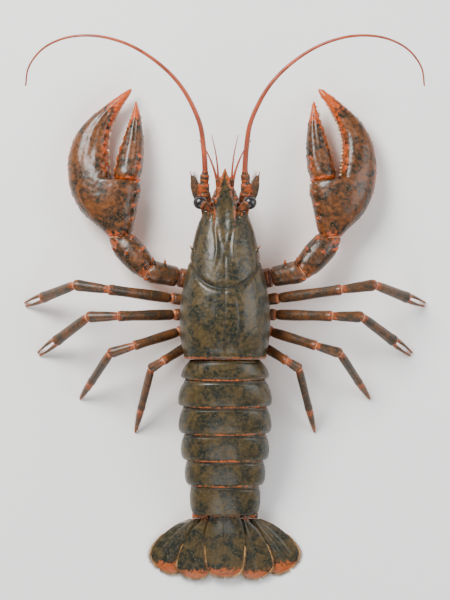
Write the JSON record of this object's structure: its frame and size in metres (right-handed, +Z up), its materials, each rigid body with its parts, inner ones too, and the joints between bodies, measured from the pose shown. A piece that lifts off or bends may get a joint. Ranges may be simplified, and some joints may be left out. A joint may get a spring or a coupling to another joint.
{
  "type": "lobster",
  "caption": "Still, life-size clawed lobster standing on its walking legs, claws resting open on the floor, long antennae arching outward, tail straight with the fan spread",
  "frame": {"origin": "On the floor, under the middle of the animal's outline seen from above, about 102 mm behind the rostrum tip on the midline.", "axes": "+Z up. The head faces -Y and the tail fan +Y. The animal's left side, with the crusher claw, is +X."},
  "size_m": [0.2962, 0.3978, 0.0771],
  "materials": {
    "shell": "gloss",
    "claw": "gloss",
    "underside": "satin",
    "limb": "gloss",
    "antenna": "satin",
    "eye": "gloss"
  },
  "bodies": {
    "root": {"carapace": "shell", "thorax": "underside", "abdomen_1": "shell", "abdomen_2": "shell", "abdomen_3": "shell", "abdomen_4": "shell", "abdomen_5": "shell", "abdomen_6": "shell", "telson": "shell", "uropod_inner_left": "shell", "uropod_inner_right": "shell", "uropod_outer_left": "shell", "uropod_outer_right": "shell", "claw_arm_left": "limb", "claw_arm_right": "limb", "claw_wrist_left": "claw", "claw_wrist_right": "claw", "claw_palm_left": "claw", "claw_palm_right": "claw", "claw_thumb_left": "claw", "claw_thumb_right": "claw", "leg_1_upper_left": "limb", "leg_1_upper_right": "limb", "leg_1_lower_left": "limb", "leg_1_lower_right": "limb", "leg_1_tip_left": "limb", "leg_1_tip_right": "limb", "leg_2_upper_left": "limb", "leg_2_upper_right": "limb", "leg_2_lower_left": "limb", "leg_2_lower_right": "limb", "leg_2_tip_left": "limb", "leg_2_tip_right": "limb", "leg_3_upper_left": "limb", "leg_3_upper_right": "limb", "leg_3_lower_left": "limb", "leg_3_lower_right": "limb", "leg_3_tip_left": "limb", "leg_3_tip_right": "limb", "leg_4_upper_left": "limb", "leg_4_upper_right": "limb", "leg_4_lower_left": "limb", "leg_4_lower_right": "limb", "leg_4_tip_left": "limb", "leg_4_tip_right": "limb", "eye_left": "eye", "eye_right": "eye", "antenna_base_left": "limb", "antenna_base_right": "limb", "antenna_1_left": "antenna", "antenna_1_right": "antenna", "antenna_2_left": "antenna", "antenna_2_right": "antenna", "antenna_3_left": "antenna", "antenna_3_right": "antenna", "antennule_left": "antenna", "antennule_right": "antenna", "maxilliped_left": "limb", "maxilliped_right": "limb"}
  },
  "joints": []
}
